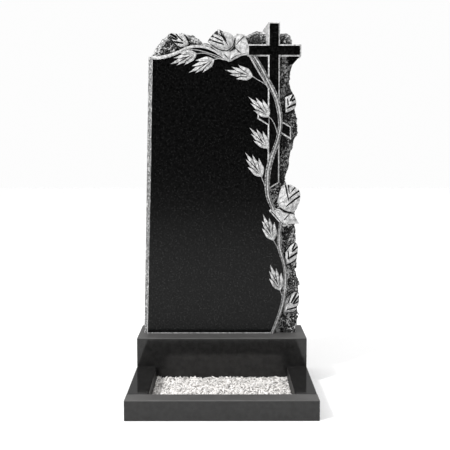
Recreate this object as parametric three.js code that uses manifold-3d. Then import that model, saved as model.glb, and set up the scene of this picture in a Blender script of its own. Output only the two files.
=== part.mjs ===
// A carved black granite headstone in millimetres, +Z up, its front towards -Y.
// An upright slab stands on a plinth. In front of the plinth three curbs frame a bed of white
// marble chips. The slab has one polished face. Its top and right side are broken rock, and a
// vine with leaves, two buds and a three-barred cross are carved along them.
import * as THREE from 'three';
import { mergeVertices } from 'three/addons/utils/BufferGeometryUtils.js';
import { ConvexGeometry } from 'three/addons/geometries/ConvexGeometry.js';
import Module from 'manifold-3d';

const wasm = await Module();
wasm.setup();

// Driving dimensions of the upright slab
const slabWidth = 610;
const slabHeight = 1200;
const slabThickness = 80;

// Driving dimensions of the plinth and of the bed in front of it
const plinthSideLedge = 20;
const plinthFrontLedge = 85;
const plinthBackLedge = 85;
const plinthHeight = 178;
const bedLength = 460;
const curbWidth = 75;
const curbHeight = 70;
const gravelDepth = 26;
const gravelRoughness = 6;
const arris = 3;
const jointGap = 0.3;

// Depths of the carving, out from the polished face or back into the stone
const rockSetBack = 17;
const rockRoughness = 9;
const rockEdgeWander = 5;
const marginDepth = 15;
const crossRelief = 6;
const crossBevel = 5;
const crossBarWidth = 45;
const footBarWidth = 42;
const leafRelief = 8;
const vineRadius = 9;
const vineRise = 3;
const stemRadius = 3;
const bandRadius = 4;
const budRadius = 38;
const petalHalfWidth = 13;
const petalRise = 8;
const petalRelief = 22;
const sepalEdge = 4;
const sepalRidge = 15;

// Sizes that follow from them
const plinthWidth = slabWidth + 2 * plinthSideLedge;
const plinthDepth = plinthFrontLedge + slabThickness + plinthBackLedge;
const overallDepth = bedLength + plinthDepth;
const plinthFront = bedLength - overallDepth / 2;
const slabFront = plinthFront + plinthFrontLedge;
const curbRun = bedLength - curbWidth - 2 * jointGap;

// The carving is drawn on a face 610 wide and 1200 high, from the middle of its foot,
// and is stretched with the slab.
const drawnWidth = 610;
const drawnHeight = 1200;
const across = (x) => (x * slabWidth) / drawnWidth;
const up = (h) => (h * slabHeight) / drawnHeight;
const onFace = (points) => points.map(([x, h]) => new THREE.Vector2(across(x), up(h)));

const slabFoot = [[195, 0], [-305, 0]];
const marginFoot = -289;
const marginTop = [-261, 1060];
const slabShoulder = [-280, 1071];
const brokenTop = [
  [-268, 1074], [-268, 1084], [-247, 1111], [-220, 1142], [-203, 1160], [-178, 1161], [-131, 1155],
  [-106, 1151], [-92, 1137], [-62, 1126], [-46, 1118], [-20, 1138], [20, 1148], [60, 1152], [88, 1153],
  [102, 1158], [120, 1165], [135, 1170], [161, 1170], [222, 1162], [250, 1162], [263, 1150], [270, 1130],
];
const brokenSide = [
  [268, 1092], [271, 1041], [261, 998], [261, 971], [273, 933], [281, 900], [284, 845], [292, 807],
  [297, 782], [283, 756], [266, 701], [260, 660], [250, 628], [244, 598], [262, 565], [288, 545],
  [295, 510], [280, 470], [291, 433], [284, 424], [287, 390], [285, 350], [291, 296], [288, 243],
  [300, 205], [304, 165], [297, 120], [299, 60], [292, 0],
];

// The line where the polished face gives way to broken rock
const bandLine = [
  [-268, 1067], [-235, 1067], [-197, 1075], [-159, 1090], [-132, 1103], [-102, 1109], [-71, 1107],
  [-37, 1096], [-7, 1078], [28, 1054],
];
const underSepals = [[52, 1066], [74, 1077], [98, 1080]];
const vineUpper = [
  [123, 1072], [150, 1029], [174, 983], [194, 945], [211, 905], [221, 860], [225, 815], [219, 772],
  [207, 730], [190, 682], [179, 635], [176, 585], [178, 545], [187, 515], [200, 486],
];
const vineLower = [
  [230, 436], [224, 400], [223, 355], [228, 322], [243, 270], [248, 215], [243, 150], [229, 88], [195, -6],
];
const vineStrand = [[106, 1075], [140, 1015], [174, 960], [203, 905]];
const stems = [
  [[-132, 1099], [-83, 1093], [-26, 1076], [16, 1057]],
  [[-97, 1081], [-64, 1083], [-26, 1069], [8, 1058]],
  [[-31, 1060], [-7, 1063], [24, 1055]],
  [[118, 996], [140, 982], [162, 969], [182, 950]],
  [[152, 615], [164, 584], [174, 556]],
  [[200, 368], [213, 344], [222, 322]],
  [[227, 172], [238, 142]],
];
const stemsOverCross = [
  [[173, 845], [185, 831], [197, 811], [212, 782]],
  [[175, 726], [181, 704], [188, 684]],
];

// Leaves, each from where its stem joins it to its longest tip, with the rock ones set lower
const leaves = [
  { foot: [-97, 1082], tip: [-194, 1043] },
  { foot: [-30, 1059], tip: [-124, 1011] },
  { foot: [118, 996], tip: [15, 1020] },
  { foot: [178, 846], tip: [104, 917] },
  { foot: [177, 724], tip: [109, 799] },
  { foot: [155, 614], tip: [92, 704] },
  { foot: [200, 367], tip: [160, 466] },
  { foot: [227, 171], tip: [189, 269] },
  { foot: [-124, 1112], tip: [-206, 1156], onRock: true },
  { foot: [247, 858], tip: [276, 932], onRock: true },
  { foot: [247, 276], tip: [284, 356], onRock: true },
  { foot: [240, 82], tip: [300, 150], onRock: true },
];

// A leaf's fingers: root and tip along and across the leaf, and half width, as shares of its length
const fingers = [
  { root: [0.02, 0], tip: [1, 0], half: 0.085 },
  { root: [0.02, 0.02], tip: [0.8, 0.125], half: 0.08 },
  { root: [0.02, -0.02], tip: [0.8, -0.125], half: 0.08 },
  { root: [0, 0.03], tip: [0.56, 0.23], half: 0.08 },
  { root: [0, -0.03], tip: [0.56, -0.23], half: 0.08 },
];

// Buds: the ball's centre, where its petals spread from, their tips, and the folded sepals under
// it, each with the ridge that it rises to
const buds = [
  {
    centre: [12, 1126],
    spread: [22, 1108],
    petalTips: [[-13, 1173], [-34, 1157], [-47, 1135]],
    sepals: [
      { edge: [[30, 1052], [74, 1076], [66, 1104], [34, 1090]], ridge: [[34, 1060], [58, 1090]] },
      {
        edge: [[72, 1076], [100, 1080], [100, 1118], [86, 1155], [56, 1156], [50, 1112]],
        ridge: [[62, 1090], [78, 1140]],
      },
      { edge: [[30, 1052], [34, 1088], [8, 1096], [-50, 1118]], ridge: [[26, 1066], [-14, 1098]] },
    ],
  },
  {
    centre: [258, 510],
    spread: [246, 506],
    petalTips: [[238, 577], [275, 570], [296, 557], [301, 535]],
    sepals: [
      {
        edge: [[182, 482], [196, 492], [222, 488], [244, 472], [240, 440], [228, 430]],
        ridge: [[200, 476], [234, 450]],
      },
      { edge: [[228, 430], [240, 419], [266, 432], [264, 470], [240, 474]], ridge: [[242, 438], [256, 462]] },
      { edge: [[260, 470], [280, 468], [288, 448], [296, 431], [264, 432]], ridge: [[264, 462], [284, 440]] },
    ],
  },
];

// The cross: its outline's named heights and places on the drawn face
const crossMiddle = 199;
const crossTop = 1200;
const crossFoot = 590;
const crossFootSlope = 32;
const barMiddle = 1094;
const barLeft = 98;
const barRight = 303;
const footBarLeft = [137, 860];
const footBarRight = [266, 780];

// Facet counts
const rockStep = 21;
const vineSteps = 26;
const bandSteps = 16;
const stemSteps = 5;
const rodSides = 8;
const fingerSides = 6;
const ballSides = 14;
const ballRings = 9;

// Repeatable noise from 0 to 1, smooth between the corners of a unit grid
function cornerNoise(i, j, k) {
  const s = Math.sin(i * 127.1 + j * 311.7 + k * 74.7) * 43758.5453;
  return s - Math.floor(s);
}

function noise(x, y, z) {
  const [i, j, k] = [x, y, z].map(Math.floor);
  const [fx, fy, fz] = [x - i, y - j, z - k].map((t) => t * t * (3 - 2 * t));
  const mix = (a, b, t) => a + (b - a) * t;
  const row = (dj, dk) => mix(cornerNoise(i, j + dj, k + dk), cornerNoise(i + 1, j + dj, k + dk), fx);
  return mix(mix(row(0, 0), row(1, 0), fy), mix(row(0, 1), row(1, 1), fy), fz);
}

// A closed three.js geometry as a solid, and back
function solid(geometry) {
  const bare = geometry.clone();
  bare.deleteAttribute('normal');
  bare.deleteAttribute('uv');
  const merged = mergeVertices(bare, 1e-3);
  const corners = merged.index.array;
  const faces = [];
  for (let i = 0; i < corners.length; i += 3) {
    const [a, b, c] = [corners[i], corners[i + 1], corners[i + 2]];
    if (a !== b && b !== c && c !== a) faces.push(a, b, c);
  }
  return new wasm.Manifold(new wasm.Mesh({
    numProp: 3,
    vertProperties: new Float32Array(merged.attributes.position.array),
    triVerts: new Uint32Array(faces),
  }));
}

function geometryOf(whole) {
  const mesh = whole.getMesh();
  const geometry = new THREE.BufferGeometry();
  geometry.setAttribute('position', new THREE.BufferAttribute(new Float32Array(mesh.vertProperties), 3));
  geometry.setIndex(new THREE.BufferAttribute(new Uint32Array(mesh.triVerts), 1));
  geometry.computeVertexNormals();
  return geometry;
}

// A plate with a drawn outline, from one level to another above the polished face
function plate(outline, low, high) {
  const shape = new THREE.Shape(outline);
  return new THREE.ExtrudeGeometry(shape, { depth: high - low, bevelEnabled: false }).translate(0, 0, low);
}

// A raised bar whose outline is drawn in towards its top by a bevel
function bevelledBar(outline, low, high, bevel) {
  const inset = { depth: high - low - bevel, bevelEnabled: true, bevelThickness: bevel, bevelSize: bevel };
  const shape = new THREE.Shape(outline);
  const geometry = new THREE.ExtrudeGeometry(shape, { ...inset, bevelOffset: -bevel, bevelSegments: 1 });
  return geometry.translate(0, 0, low);
}

// A rod along a curve drawn on the face, round above its own level and deeper below it
function rod(points, radius, depth, level, steps) {
  const path = new THREE.CatmullRomCurve3(onFace(points).map((p) => new THREE.Vector3(p.x, p.y, level)));
  const ring = [];
  for (let i = 0; i < rodSides; i += 1) {
    const turn = (2 * Math.PI * (i + 0.5)) / rodSides;
    const reach = Math.cos(turn) > 0 ? depth : radius;
    ring.push(new THREE.Vector2(reach * Math.cos(turn), radius * Math.sin(turn)));
  }
  const settings = { steps, extrudePath: path, bevelEnabled: false };
  return solid(new THREE.ExtrudeGeometry(new THREE.Shape(ring), settings));
}

// A pointed finger of a leaf or a petal, lying on the face from root to tip
function finger(root, tip, half, relief, level) {
  const run = new THREE.Vector2().subVectors(tip, root);
  const length = run.length();
  const profile = [[0, 0], [0.7, 0.12], [1, 0.38], [0.74, 0.68], [0, 1]];
  const side = profile.map(([r, t]) => new THREE.Vector2(r * half, t * length));
  const geometry = new THREE.LatheGeometry(side, fingerSides);
  geometry.scale(1, 1, relief / half);
  geometry.rotateZ(run.angle() - Math.PI / 2);
  return geometry.translate(root.x, root.y, level);
}

// The slab's block: its broken edges wander and are rounded back towards the front and the back
function brokenBlock() {
  const outline = onFace([...slabFoot, slabShoulder, ...brokenTop, ...brokenSide]);
  const rings = 4;
  const settings = { depth: slabThickness, steps: rings, bevelEnabled: false };
  const geometry = new THREE.ExtrudeGeometry(new THREE.Shape(outline), settings);
  geometry.translate(0, 0, -slabThickness);
  const place = geometry.attributes.position;
  const grain = 0.045;
  for (let i = 0; i < place.count; i += 1) {
    const [x, h, z] = [place.getX(i), place.getY(i), place.getZ(i)];
    const isTop = h > up(slabShoulder[1]) + 1;
    const isSide = !isTop && x > across(240) && h > 1;
    if (!isTop && !isSide) continue;
    const rounding = Math.abs(z / slabThickness + 0.5) * 2 * rockEdgeWander;
    const wander = (noise(x * grain, h * grain, z * grain) - 0.7) * 2 * rockEdgeWander - rounding;
    if (isTop) place.setY(i, h + wander);
    if (isSide) place.setX(i, x + wander);
  }
  return solid(geometry);
}

// What is broken away in front of the rock: everything outside the polished face
function brokenAway() {
  const beyond = 60;
  const right = across(brokenSide[8][0]) + beyond;
  const top = slabHeight + beyond;
  const face = new THREE.CatmullRomCurve3(onFace(bandLine).map((p) => new THREE.Vector3(p.x, p.y, 0)));
  const bandPoints = face.getPoints(18).map((p) => new THREE.Vector2(p.x, p.y));
  const alongSepals = onFace([...underSepals, [crossMiddle, barMiddle]]);
  const alongCross = onFace([[crossMiddle, crossFoot + 10], [177, 556]]);
  const alongVine = onFace([...vineUpper.slice(-3), ...vineLower.slice(0, -1), [195, 0]]);
  const below = new THREE.Vector2(across(194), -beyond);
  const outline = [
    new THREE.Vector2(across(slabShoulder[0]) - beyond, up(bandLine[0][1])),
    ...bandPoints, ...alongSepals, ...alongCross, ...alongVine, below,
    new THREE.Vector2(right, -beyond), new THREE.Vector2(right, top),
    new THREE.Vector2(across(slabShoulder[0]) - beyond, top),
  ];
  const zone = solid(plate(outline, -2 * rockSetBack - rockRoughness, beyond));
  const [wide, high] = [slabWidth + 2 * beyond, slabHeight + 2 * beyond];
  const columns = Math.round(wide / rockStep);
  const rows = Math.round(high / rockStep);
  const blank = new THREE.BoxGeometry(wide, high, 2 * beyond, columns, rows, 1);
  blank.translate(0, slabHeight / 2, beyond);
  const place = blank.attributes.position;
  const grain = 0.035;
  for (let i = 0; i < place.count; i += 1) {
    const [x, h, z] = [place.getX(i), place.getY(i), place.getZ(i)];
    if (z > beyond) continue;
    const broad = noise(x * grain, h * grain, 3) - 0.5;
    const close = noise(x * 3 * grain, h * 3 * grain, 7) - 0.5;
    place.setZ(i, -rockSetBack + (1.2 * broad + 0.8 * close) * rockRoughness);
  }
  return zone.intersect(solid(blank));
}

// The dressed margin down the slab's left edge: a wedge taken off its corner
function marginCut() {
  const beyond = 30;
  const foot = new THREE.Vector2(across(slabFoot[1][0]), 0);
  const shoulder = onFace([slabShoulder])[0];
  const lean = new THREE.Vector2().subVectors(shoulder, foot).normalize();
  const low = foot.clone().addScaledVector(lean, -beyond);
  const high = shoulder.clone().addScaledVector(lean, beyond);
  const arrisFoot = new THREE.Vector2(across(marginFoot), 0);
  const arrisTop = onFace([marginTop])[0];
  const rise = new THREE.Vector2().subVectors(arrisTop, arrisFoot).normalize();
  const arrisLow = arrisFoot.clone().addScaledVector(rise, -beyond);
  const arrisHigh = arrisTop.clone().addScaledVector(rise, beyond);
  const corners = [];
  for (const [edge, inner] of [[low, arrisLow], [high, arrisHigh]]) {
    const slope = marginDepth / (inner.x - edge.x);
    corners.push(new THREE.Vector3(inner.x + beyond, inner.y, slope * beyond));
    corners.push(new THREE.Vector3(edge.x - beyond, edge.y, -marginDepth - slope * beyond));
    corners.push(new THREE.Vector3(edge.x - beyond, edge.y, 2 * beyond));
    corners.push(new THREE.Vector3(inner.x + beyond, inner.y, 2 * beyond));
  }
  return solid(new ConvexGeometry(corners));
}

// One leaf of pointed fingers, standing up from the face or lying on the rock
function leaf({ foot, tip, onRock = false }) {
  const [start, end] = onFace([foot, tip]);
  const along = new THREE.Vector2().subVectors(end, start);
  const side = new THREE.Vector2(-along.y, along.x);
  const at = ([t, s]) => start.clone().addScaledVector(along, t).addScaledVector(side, s);
  const level = onRock ? -rockSetBack : 0;
  const relief = leafRelief - level;
  return fingers.map((f, i) => {
    const height = relief - i * 0.5;
    return solid(finger(at(f.root), at(f.tip), f.half * along.length(), height, level));
  });
}

// A folded sepal: its drawn edge rises to a ridge
function sepal({ edge, ridge }) {
  const lift = (points, z) => onFace(points).map((p) => new THREE.Vector3(p.x, p.y, z));
  const sunk = lift(edge, -rockSetBack - rockRoughness);
  return solid(new ConvexGeometry([...sunk, ...lift(edge, sepalEdge), ...lift(ridge, sepalRidge)]));
}

// A bud: a flattened ball with pointed petals, over its sepals
function bud({ centre, spread, petalTips, sepals }) {
  const [middle, root, ...tips] = onFace([centre, spread, ...petalTips]);
  const ball = new THREE.SphereGeometry(budRadius, ballSides, ballRings);
  ball.rotateX(Math.PI / 2);
  ball.scale(across(1), up(1), 0.72);
  ball.translate(middle.x, middle.y, -2);
  const petals = tips.map((tip) => solid(finger(root, tip, petalHalfWidth, petalRelief, petalRise)));
  return [solid(ball), ...petals, ...sepals.map(sepal)];
}

// The cross: post, bar and slanted foot bar, proud of the face, with bevelled edges.
// The post's top and the bar's right end are carved free, as deep as the slab.
function cross() {
  const half = crossBarWidth / 2;
  const slope = Math.tan((crossFootSlope * Math.PI) / 180);
  const [left, right] = [crossMiddle - half, crossMiddle + half];
  const [under, over] = [barMiddle - half, barMiddle + half];
  const post = onFace([
    [left, crossFoot - crossBarWidth * slope], [right, crossFoot], [right, under], [barRight, under],
    [barRight, over], [right, over], [right, crossTop], [left, crossTop],
    [left, over], [barLeft, over], [barLeft, under], [left, under],
  ]);
  const footHalf = footBarWidth / 2 / Math.cos(Math.atan2(80, 129));
  const footBar = onFace([
    [footBarLeft[0], footBarLeft[1] - footHalf], [footBarRight[0], footBarRight[1] - footHalf],
    [footBarRight[0], footBarRight[1] + footHalf], [footBarLeft[0], footBarLeft[1] + footHalf],
  ]);
  const deep = -rockSetBack - 2 * rockRoughness;
  const head = onFace([[left, barMiddle], [right, barMiddle], [right, crossTop], [left, crossTop]]);
  const arm = onFace([[crossMiddle, under], [barRight, under], [barRight, over], [crossMiddle, over]]);
  return [
    solid(bevelledBar(post, deep, crossRelief, crossBevel)),
    solid(bevelledBar(footBar, deep, crossRelief - 1, crossBevel)),
    solid(plate(head, -slabThickness, 0)),
    solid(plate(arm, -slabThickness, 0)),
    crossFlank(left, over),
    armCorbel(under),
  ];
}

function hull(corners) {
  return solid(new ConvexGeometry(corners.map(([x, h, z]) => new THREE.Vector3(across(x), up(h), z))));
}

// The flared flank on the left of the cross's head
function crossFlank(left, over) {
  const flare = 17;
  const drop = 20;
  const back = 1 - slabThickness;
  const corners = [];
  for (const x of [left + 1, crossMiddle]) {
    corners.push([x, over - 10, -1], [x, crossTop - 1, -1], [x, crossTop - drop, back], [x, over - 10, back]);
  }
  for (const z of [back, back / 2]) {
    corners.push([left - flare, crossTop - drop - 3, z], [left - flare / 2, over - 10, z]);
  }
  return hull(corners);
}

// The wedge of stone left under the bar's right end
function armCorbel(under) {
  const [inner, heel, tip] = [255, 271, barRight - 2];
  const drop = 30;
  const section = [[tip, under + 4], [inner, under + 4], [inner, under - drop], [heel, under - drop]];
  return hull([-6, 4 - slabThickness].flatMap((z) => section.map(([x, h]) => [x, h, z])));
}

function slab() {
  let whole = brokenBlock().subtract(brokenAway()).subtract(marginCut());
  const vineDepth = 2 * vineRadius;
  const stemDepth = 2 * stemRadius;
  const stemLift = crossRelief - 1;
  const raised = [
    rod(bandLine, bandRadius, bandRadius, -1, bandSteps),
    rod([[28, 1054], ...underSepals], bandRadius, bandRadius, -1, stemSteps),
    rod(vineUpper, vineRadius, vineDepth, vineRise, vineSteps),
    rod(vineLower, vineRadius, vineDepth, vineRise, vineSteps),
    rod(vineStrand, stemRadius + 1, stemDepth, vineRise, 2 * stemSteps),
    ...stems.map((points) => rod(points, stemRadius, stemRadius, 1, stemSteps)),
    ...stemsOverCross.map((points) => rod(points, stemRadius, stemDepth, stemLift, stemSteps)),
    ...leaves.flatMap(leaf),
    ...buds.flatMap(bud),
    ...cross(),
  ];
  for (const piece of raised) whole = whole.add(piece);
  const sawn = new THREE.BoxGeometry(2 * slabWidth, 2 * slabHeight, 4 * slabThickness);
  sawn.translate(0, slabHeight, 0);
  return whole.intersect(solid(sawn));
}

// A sawn and polished block with its upper arrises taken off, from a corner of its footprint
function dressedBlock(width, depth, height) {
  const outline = [[0, 0], [width, 0], [width, depth], [0, depth]].map(([x, y]) => new THREE.Vector2(x, y));
  const body = solid(plate(outline, 0, height - arris));
  return geometryOf(body.add(solid(bevelledBar(outline, height - 2 * arris, height, arris))));
}

function granite(roughness) {
  return new THREE.MeshStandardMaterial({ color: 0x161618, roughness, metalness: 0 });
}

function block(name, width, depth, height, x, y, z) {
  const mesh = new THREE.Mesh(dressedBlock(width, depth, height), granite(0.15));
  mesh.name = name;
  mesh.position.set(x, y, z);
  return mesh;
}

// The bed of marble chips, as one level mass with an uneven top
function gravelBed() {
  const width = plinthWidth - 2 * curbWidth - 2 * jointGap;
  const depth = curbRun;
  const geometry = new THREE.BoxGeometry(width, depth, gravelDepth, 16, 12, 1);
  geometry.translate(0, 0, gravelDepth / 2);
  const place = geometry.attributes.position;
  for (let i = 0; i < place.count; i += 1) {
    const [x, y, z] = [place.getX(i), place.getY(i), place.getZ(i)];
    if (z > 1) place.setZ(i, z + (noise(x * 0.05, y * 0.05, 11) - 0.5) * 2 * gravelRoughness);
  }
  const mesh = new THREE.Mesh(geometry, new THREE.MeshStandardMaterial({ color: 0xe6e4df, roughness: 0.8 }));
  mesh.name = 'gravel_bed';
  mesh.position.set(0, plinthFront - jointGap - depth / 2, 0);
  return mesh;
}

const headstone = new THREE.Group();
const bedFront = plinthFront - bedLength;
const curbFront = bedFront + curbWidth + jointGap;
headstone.add(
  block('plinth', plinthWidth, plinthDepth, plinthHeight, -plinthWidth / 2, plinthFront, 0),
  block('front_curb', plinthWidth, curbWidth, curbHeight, -plinthWidth / 2, bedFront, 0),
  block('left_curb', curbWidth, curbRun, curbHeight, -plinthWidth / 2, curbFront, 0),
  block('right_curb', curbWidth, curbRun, curbHeight, plinthWidth / 2 - curbWidth, curbFront, 0),
  gravelBed(),
);

// The slab is carved lying on its back, then stood up on the plinth
const standing = new THREE.Group();
const carvedSlab = new THREE.Mesh(geometryOf(slab()), granite(0.3));
carvedSlab.name = 'carved_slab';
standing.add(carvedSlab);
standing.rotation.x = Math.PI / 2;
standing.position.set(0, slabFront, plinthHeight + jointGap);
headstone.add(standing);

export default headstone;
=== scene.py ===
# Looks of a carved black granite headstone with its plinth, curbs and bed of marble chips.
import itertools
import math
import random

import bmesh
import bpy
from mathutils import Matrix, Vector, kdtree, noise


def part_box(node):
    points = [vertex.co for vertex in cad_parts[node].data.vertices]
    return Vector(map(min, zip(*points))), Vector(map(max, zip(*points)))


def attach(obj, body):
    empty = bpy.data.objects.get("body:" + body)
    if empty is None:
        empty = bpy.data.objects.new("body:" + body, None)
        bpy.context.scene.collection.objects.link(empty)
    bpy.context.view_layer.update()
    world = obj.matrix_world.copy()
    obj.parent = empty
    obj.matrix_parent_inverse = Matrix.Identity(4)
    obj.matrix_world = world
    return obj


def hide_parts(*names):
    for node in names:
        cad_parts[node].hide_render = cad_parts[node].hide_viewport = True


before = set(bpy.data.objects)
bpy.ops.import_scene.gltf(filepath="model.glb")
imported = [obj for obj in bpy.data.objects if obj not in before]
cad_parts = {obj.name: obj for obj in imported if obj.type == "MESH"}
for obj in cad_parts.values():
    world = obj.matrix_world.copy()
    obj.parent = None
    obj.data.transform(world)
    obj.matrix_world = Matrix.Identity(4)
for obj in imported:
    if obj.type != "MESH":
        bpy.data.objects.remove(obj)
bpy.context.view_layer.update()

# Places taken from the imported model, in metres
slabLow, slabHigh = (Vector(corner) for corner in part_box("carved_slab"))
bedLow, bedHigh = (Vector(corner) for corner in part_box("gravel_bed"))
slabThickness = 0.080
faceY = slabHigh.y - slabThickness

# The carving is drawn in millimetres on the slab's face: across, up and out of it
drawnHeight = 1200
drawnDepth = slabThickness * 1000
toWorld = (
    Matrix.Translation((0, faceY, slabLow.z))
    @ Matrix.Rotation(math.pi / 2, 4, "X")
    @ Matrix.Scale((slabHigh.z - slabLow.z) / drawnHeight, 4)
)

slabFinishes = [
    "polishedGranite", "peckedGranite", "brokenGranite", "grooveShadeGranite", "barkAndShadeGranite", "dressedGranite",
    "rimGranite", "shadedGranite",
]
(
    polishedSlot, peckedSlot, rockSlot, grooveShadeSlot, barkAndShadeSlot, dressedSlot, rimSlot, shadedSlot,
) = range(len(slabFinishes))


def addObject(name, data):
    thing = bpy.data.objects.new(name, data)
    bpy.context.collection.objects.link(thing)
    return thing


# Camera at the photograph's viewing angle
cameraLook = {
    "lens": 69.6, "sensor": 36,
    "place": (0, -3.170, 0.902),
    "pitch": math.radians(5.06),
    "yaw": math.radians(0.21),
}


def makeCamera():
    data = bpy.data.cameras.new("camera")
    data.lens = cameraLook["lens"]
    data.sensor_width = cameraLook["sensor"]
    camera = addObject("camera", data)
    camera.location = cameraLook["place"]
    camera.rotation_euler = (math.pi / 2 - cameraLook["pitch"], 0, -cameraLook["yaw"])
    bpy.context.scene.camera = camera


# Small helpers for nodes: an input takes a value or another node's output
def feed(tree, node, inputs):
    for key, value in inputs.items():
        if isinstance(value, bpy.types.NodeSocket):
            tree.links.new(value, node.inputs[key])
        else:
            node.inputs[key].default_value = value
    return node


def addNode(tree, kind, inputs=(), **settings):
    node = tree.nodes.new(kind)
    for key, value in settings.items():
        setattr(node, key, value)
    return feed(tree, node, dict(inputs))


def addMath(tree, operation, first, second, kind="ShaderNodeMath", **settings):
    return addNode(tree, kind, {0: first, 1: second}, operation=operation, **settings).outputs[0]


def mixColour(tree, factor, ground, value):
    inputs = {"Factor": factor, "A": ground, "B": (*grey(value), 1)}
    return addNode(tree, "ShaderNodeMix", inputs, data_type="RGBA").outputs["Result"]


def newMaterial(name):
    material = bpy.data.materials.new(name)
    material.use_nodes = True
    return material, material.node_tree


def newGroup(name, inputs, outputs):
    group = bpy.data.node_groups.new(name, "ShaderNodeTree")
    face = group.interface
    face.new_socket("Vector", in_out="INPUT", socket_type="NodeSocketVector")
    for label, value in inputs.items():
        face.new_socket(label, in_out="INPUT", socket_type="NodeSocketFloat").default_value = value
    for label in outputs:
        face.new_socket(label, in_out="OUTPUT", socket_type="NodeSocketFloat")
    return group, addNode(group, "NodeGroupInput").outputs


def grey(value, warmth=0.0):
    return (value * (1 + warmth), value, value * (1 - warmth))


# Crystal grain shared by all the stone: flecks of light mineral and a height for the bump
def makeGrainGroup():
    starts = {"Crystal": 400.0, "Patch": 18.0, "Cut": 0.55}
    group, given = newGroup("stoneGrain", starts, ["Fleck", "Cloud", "Height"])
    place, size = given["Vector"], given["Crystal"]
    crystal = addNode(group, "ShaderNodeTexNoise", {
        "Vector": place, "Scale": size, "Detail": 3, "Roughness": 0.62,
    })
    patch = addNode(group, "ShaderNodeTexNoise", {"Vector": place, "Scale": given["Patch"], "Detail": 4})
    cells = addNode(group, "ShaderNodeTexVoronoi", {"Vector": place, "Scale": size})
    over = addMath(group, "SUBTRACT", crystal.outputs["Fac"], given["Cut"])
    addNode(group, "NodeGroupOutput", {
        "Fleck": addMath(group, "MULTIPLY", over, 9.0, use_clamp=True),
        "Cloud": patch.outputs["Fac"],
        "Height": addMath(group, "ADD", crystal.outputs["Fac"], cells.outputs["Distance"]),
    })
    return group


# Light bruises that a chisel leaves on a break: some of the cells of a warped pattern
def makeBruiseGroup():
    group, given = newGroup("bruises", {"Scale": 85.0, "Warp": 0.016}, ["Mask"])
    place, vectors = given["Vector"], "ShaderNodeVectorMath"
    warp = addNode(group, "ShaderNodeTexNoise", {"Vector": place, "Scale": 130.0, "Detail": 3})
    centred = addMath(group, "SUBTRACT", warp.outputs["Color"], (0.5, 0.5, 0.5), vectors)
    shifted = addNode(group, vectors, {0: centred, "Scale": given["Warp"]}, operation="SCALE")
    moved = addMath(group, "ADD", place, shifted.outputs[0], vectors)
    cells = addNode(group, "ShaderNodeTexVoronoi", {"Vector": moved, "Scale": given["Scale"]})
    split = addNode(group, "ShaderNodeSeparateColor", {"Color": cells.outputs["Color"]})
    broad = addNode(group, "ShaderNodeTexNoise", {"Vector": place, "Scale": 28.0, "Detail": 2})
    spread = addNode(group, "ShaderNodeMapRange", {
        "Value": broad.outputs["Fac"], "From Min": 0.3, "From Max": 0.7, "To Min": -0.38, "To Max": 0.34,
    })
    crowded = addMath(group, "ADD", split.outputs["Red"], spread.outputs["Result"])
    mask = addNode(group, "ShaderNodeMapRange", {
        "Value": crowded, "From Min": 0.66, "From Max": 0.74, "To Max": 0.85,
    }, interpolation_type="SMOOTHSTEP")
    addNode(group, "NodeGroupOutput", {"Mask": mask.outputs["Result"]})
    return group


# What the finishes of one kind of surface share
carvedLook = {"rough": (0.75, 0.92), "bump": 0.8, "specular": 0.3}
brokenLook = {
    "crystal": 210.0, "patch": 120.0, "cut": 0.54, "rough": (0.45, 0.80), "bump": 0.9, "depth": 0.0035,
    "specular": 0.12, "bruiseWarp": 0.012,
}
splinterLook = {
    "crystal": 300.0, "patch": 75.0, "cut": 0.60, "warmth": 0.02, "fleckAmount": 0.4, "bump": 0.25,
    "depth": 0.0008,
}

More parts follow.
